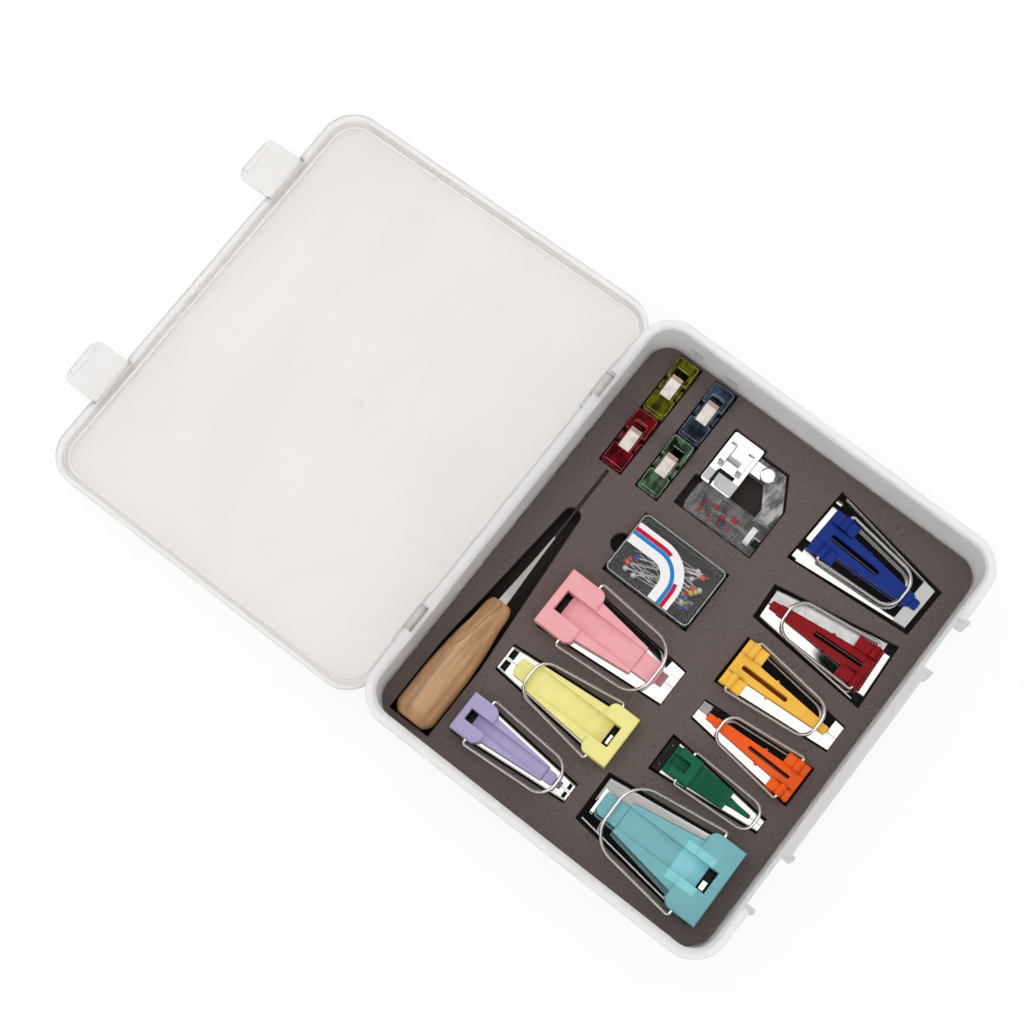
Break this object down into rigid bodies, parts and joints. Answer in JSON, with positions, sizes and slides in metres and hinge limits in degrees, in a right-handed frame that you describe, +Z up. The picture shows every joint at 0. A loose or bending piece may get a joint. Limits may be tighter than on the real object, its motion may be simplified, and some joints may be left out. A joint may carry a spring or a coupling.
{
  "type": "bias tape maker kit",
  "caption": "Hinged translucent case with a foam insert that holds tape folders with wire bails, an awl, sewing clips, an adjustable binder foot and a pin box.",
  "frame": {"origin": "centre of the case base's underside, on the table", "axes": "+X from the lid's hinge to the front of the base, +Y along the hinge, +Z up"},
  "size_m": [0.375, 0.2116, 0.041],
  "materials": {
    "case_plastic": "frosted translucent",
    "pin_steel": "drawn wire",
    "foam": "fine closed-cell foam",
    "nickel_sheet": "polished",
    "blue_plastic": "gloss moulded",
    "bail_wire": "bright drawn wire",
    "red_plastic": "gloss moulded",
    "yellow_plastic": "gloss moulded",
    "orange_plastic": "gloss moulded",
    "green_plastic": "gloss moulded",
    "teal_plastic": "gloss moulded",
    "lilac_plastic": "gloss moulded",
    "primrose_plastic": "gloss moulded",
    "pink_plastic": "gloss moulded",
    "handle_wood": "varnished",
    "blade_steel": "polished",
    "olive_clip_plastic": "translucent moulded",
    "spring_steel": "bright band",
    "navy_clip_plastic": "translucent moulded",
    "maroon_clip_plastic": "translucent moulded",
    "mint_clip_plastic": "translucent moulded",
    "plate_chrome": "polished",
    "clear_plastic": "clear moulded",
    "screw_steel": "turned",
    "pin_box_plastic": "clear moulded",
    "label_paper": "plain printed band",
    "pin_wire": "bright",
    "white_bead": "gloss bead",
    "red_bead": "gloss bead",
    "blue_bead": "gloss bead",
    "yellow_bead": "gloss bead"
  },
  "bodies": {
    "base": {"case_base": "case_plastic", "hinge_pins": "pin_steel", "foam_insert": "foam"},
    "lid": {"case_lid": "case_plastic"},
    "latch_a": {"front_latch_a": "case_plastic"},
    "latch_b": {"front_latch_b": "case_plastic"},
    "blue_maker": {"blue_folder": "nickel_sheet", "blue_guide": "blue_plastic"},
    "blue_bail": {"blue_bail": "bail_wire"},
    "red_maker": {"red_folder": "nickel_sheet", "red_guide": "red_plastic"},
    "red_bail": {"red_bail": "bail_wire"},
    "yellow_maker": {"yellow_folder": "nickel_sheet", "yellow_guide": "yellow_plastic"},
    "yellow_bail": {"yellow_bail": "bail_wire"},
    "orange_maker": {"orange_folder": "nickel_sheet", "orange_guide": "orange_plastic"},
    "orange_bail": {"orange_bail": "bail_wire"},
    "green_maker": {"green_folder": "nickel_sheet", "green_guide": "green_plastic"},
    "green_bail": {"green_bail": "bail_wire"},
    "teal_maker": {"teal_folder": "nickel_sheet", "teal_guide": "teal_plastic"},
    "teal_bail": {"teal_bail": "bail_wire"},
    "lilac_maker": {"lilac_folder": "nickel_sheet", "lilac_guide": "lilac_plastic"},
    "lilac_bail": {"lilac_bail": "bail_wire"},
    "primrose_maker": {"primrose_folder": "nickel_sheet", "primrose_guide": "primrose_plastic"},
    "primrose_bail": {"primrose_bail": "bail_wire"},
    "pink_maker": {"pink_folder": "nickel_sheet", "pink_guide": "pink_plastic"},
    "pink_bail": {"pink_bail": "bail_wire"},
    "awl": {"awl_handle": "handle_wood", "awl_blade": "blade_steel"},
    "olive_clip": {"clip_olive_lower": "olive_clip_plastic", "clip_olive_spring": "spring_steel"},
    "olive_clip_jaw": {"clip_olive_upper": "olive_clip_plastic"},
    "navy_clip": {"clip_navy_lower": "navy_clip_plastic", "clip_navy_spring": "spring_steel"},
    "navy_clip_jaw": {"clip_navy_upper": "navy_clip_plastic"},
    "maroon_clip": {"clip_maroon_lower": "maroon_clip_plastic", "clip_maroon_spring": "spring_steel"},
    "maroon_clip_jaw": {"clip_maroon_upper": "maroon_clip_plastic"},
    "mint_clip": {"clip_mint_lower": "mint_clip_plastic", "clip_mint_spring": "spring_steel"},
    "mint_clip_jaw": {"clip_mint_upper": "mint_clip_plastic"},
    "binder": {"binder_plate": "plate_chrome", "binder_frame": "clear_plastic", "binder_stud": "plate_chrome"},
    "binder_screw": {"binder_screw": "screw_steel"},
    "binder_slider": {"binder_slider": "clear_plastic"},
    "pin_box": {"pin_tray": "pin_box_plastic", "pin_shafts": "pin_wire", "pin_heads_white": "white_bead", "pin_heads_red": "red_bead", "pin_heads_blue": "blue_bead", "pin_heads_yellow": "yellow_bead"},
    "pin_cover": {"pin_lid": "pin_box_plastic", "pin_label": "label_paper"}
  },
  "joints": [
    {"name": "lid_hinge", "type": "hinge", "parent": "base", "child": "lid", "pos_m": [-0.08938, 0, 0.0335], "axis": [0, -1, 0], "range_deg": [-186.19, 0]},
    {"name": "latch_a_hinge", "type": "hinge", "parent": "lid", "child": "latch_a", "pos_m": [-0.26479, -0.06, 0.00513], "axis": [0, -1, 0], "range_deg": [-90, 0]},
    {"name": "latch_b_hinge", "type": "hinge", "parent": "lid", "child": "latch_b", "pos_m": [-0.26479, 0.06, 0.00513], "axis": [0, -1, 0], "range_deg": [-90, 0]},
    {"name": "blue_lift", "type": "slide", "parent": "base", "child": "blue_maker", "axis": [0, 0, 1], "range_m": [0, 0.04]},
    {"name": "blue_bail_hinge", "type": "hinge", "parent": "blue_maker", "child": "blue_bail", "pos_m": [0.02659, 0.07315, 0.0232], "axis": [-0.0471, -0.9989, 0], "range_deg": [0, 100]},
    {"name": "red_lift", "type": "slide", "parent": "base", "child": "red_maker", "axis": [0, 0, 1], "range_m": [0, 0.04]},
    {"name": "red_bail_hinge", "type": "hinge", "parent": "red_maker", "child": "red_bail", "pos_m": [0.06841, 0.03685, 0.0232], "axis": [-0.0523, 0.9986, 0], "range_deg": [0, 100]},
    {"name": "yellow_lift", "type": "slide", "parent": "base", "child": "yellow_maker", "axis": [0, 0, 1], "range_m": [0, 0.04]},
    {"name": "yellow_bail_hinge", "type": "hinge", "parent": "yellow_maker", "child": "yellow_bail", "pos_m": [0.0284, 0.00587, 0.0232], "axis": [-0.007, -1, 0], "range_deg": [0, 100]},
    {"name": "orange_lift", "type": "slide", "parent": "base", "child": "orange_maker", "axis": [0, 0, 1], "range_m": [0, 0.04]},
    {"name": "orange_bail_hinge", "type": "hinge", "parent": "orange_maker", "child": "orange_bail", "pos_m": [0.071, -0.01946, 0.0232], "axis": [0.007, 1, 0], "range_deg": [0, 100]},
    {"name": "green_lift", "type": "slide", "parent": "base", "child": "green_maker", "axis": [0, 0, 1], "range_m": [0, 0.04]},
    {"name": "green_bail_hinge", "type": "hinge", "parent": "green_maker", "child": "green_bail", "pos_m": [0.0348, -0.04246, 0.0238], "axis": [0.0122, -0.9999, 0], "range_deg": [0, 100]},
    {"name": "teal_lift", "type": "slide", "parent": "base", "child": "teal_maker", "axis": [0, 0, 1], "range_m": [0, 0.04]},
    {"name": "teal_bail_hinge", "type": "hinge", "parent": "teal_maker", "child": "teal_bail", "pos_m": [0.0647, -0.0735, 0.0244], "axis": [-0.014, 0.9999, 0], "range_deg": [0, 100]},
    {"name": "lilac_lift", "type": "slide", "parent": "base", "child": "lilac_maker", "axis": [0, 0, 1], "range_m": [0, 0.04]},
    {"name": "lilac_bail_hinge", "type": "hinge", "parent": "lilac_maker", "child": "lilac_bail", "pos_m": [-0.0433, -0.07965, 0.0244], "axis": [0.007, -1, 0], "range_deg": [0, 100]},
    {"name": "primrose_lift", "type": "slide", "parent": "base", "child": "primrose_maker", "axis": [0, 0, 1], "range_m": [0, 0.04]},
    {"name": "primrose_bail_hinge", "type": "hinge", "parent": "primrose_maker", "child": "primrose_bail", "pos_m": [-0.0003, -0.05074, 0.0244], "axis": [-0.007, 1, 0], "range_deg": [0, 100]},
    {"name": "pink_lift", "type": "slide", "parent": "base", "child": "pink_maker", "axis": [0, 0, 1], "range_m": [0, 0.04]},
    {"name": "pink_bail_hinge", "type": "hinge", "parent": "pink_maker", "child": "pink_bail", "pos_m": [-0.0382, -0.01864, 0.0244], "axis": [-0.0035, -1, 0], "range_deg": [0, 100]},
    {"name": "awl_lift", "type": "slide", "parent": "base", "child": "awl", "axis": [0, 0, 1], "range_m": [0, 0.04]},
    {"name": "olive_clip_lift", "type": "slide", "parent": "base", "child": "olive_clip", "axis": [0, 0, 1], "range_m": [0, 0.04]},
    {"name": "olive_clip_jaw_hinge", "type": "hinge", "parent": "olive_clip", "child": "olive_clip_jaw", "pos_m": [-0.0673, 0.0834, 0.0186], "axis": [-1, 0, 0], "range_deg": [0, 20], "stiffness_Nm_per_rad": 0.15, "springref_deg": -20.05, "deforming": ["clip_olive_spring"]},
    {"name": "navy_clip_lift", "type": "slide", "parent": "base", "child": "navy_clip", "axis": [0, 0, 1], "range_m": [0, 0.04]},
    {"name": "navy_clip_jaw_hinge", "type": "hinge", "parent": "navy_clip", "child": "navy_clip_jaw", "pos_m": [-0.0484, 0.0836, 0.0186], "axis": [-1, 0, 0], "range_deg": [0, 20], "stiffness_Nm_per_rad": 0.15, "springref_deg": -20.05, "deforming": ["clip_navy_spring"]},
    {"name": "maroon_clip_lift", "type": "slide", "parent": "base", "child": "maroon_clip", "axis": [0, 0, 1], "range_m": [0, 0.04]},
    {"name": "maroon_clip_jaw_hinge", "type": "hinge", "parent": "maroon_clip", "child": "maroon_clip_jaw", "pos_m": [-0.0674, 0.0544, 0.0186], "axis": [-1, 0, 0], "range_deg": [0, 20], "stiffness_Nm_per_rad": 0.15, "springref_deg": -20.05, "deforming": ["clip_maroon_spring"]},
    {"name": "mint_clip_lift", "type": "slide", "parent": "base", "child": "mint_clip", "axis": [0, 0, 1], "range_m": [0, 0.04]},
    {"name": "mint_clip_jaw_hinge", "type": "hinge", "parent": "mint_clip", "child": "mint_clip_jaw", "pos_m": [-0.0483, 0.0546, 0.0186], "axis": [-1, 0, 0], "range_deg": [0, 20], "stiffness_Nm_per_rad": 0.15, "springref_deg": -20.05, "deforming": ["clip_mint_spring"]},
    {"name": "binder_lift", "type": "slide", "parent": "base", "child": "binder", "axis": [0, 0, 1], "range_m": [0, 0.04]},
    {"name": "binder_screw_turn", "type": "hinge", "parent": "binder", "child": "binder_screw", "pos_m": [-0.0021, 0.0528, 0.01905], "axis": [1, 0, 0], "range_deg": [-1081, 2161]},
    {"name": "binder_slider_slide", "type": "slide", "parent": "binder", "child": "binder_slider", "axis": [1, 0, 0], "range_m": [-0.003, 0.006]},
    {"name": "pin_box_lift", "type": "slide", "parent": "base", "child": "pin_box", "axis": [0, 0, 1], "range_m": [0, 0.04]},
    {"name": "pin_cover_lift", "type": "slide", "parent": "pin_box", "child": "pin_cover", "axis": [0, 0, 1], "range_m": [0, 0.03]}
  ],
  "couplings": [
    {"joint": "binder_screw_turn", "follows": "binder_slider_slide", "rad_per_m": 6283.2}
  ]
}
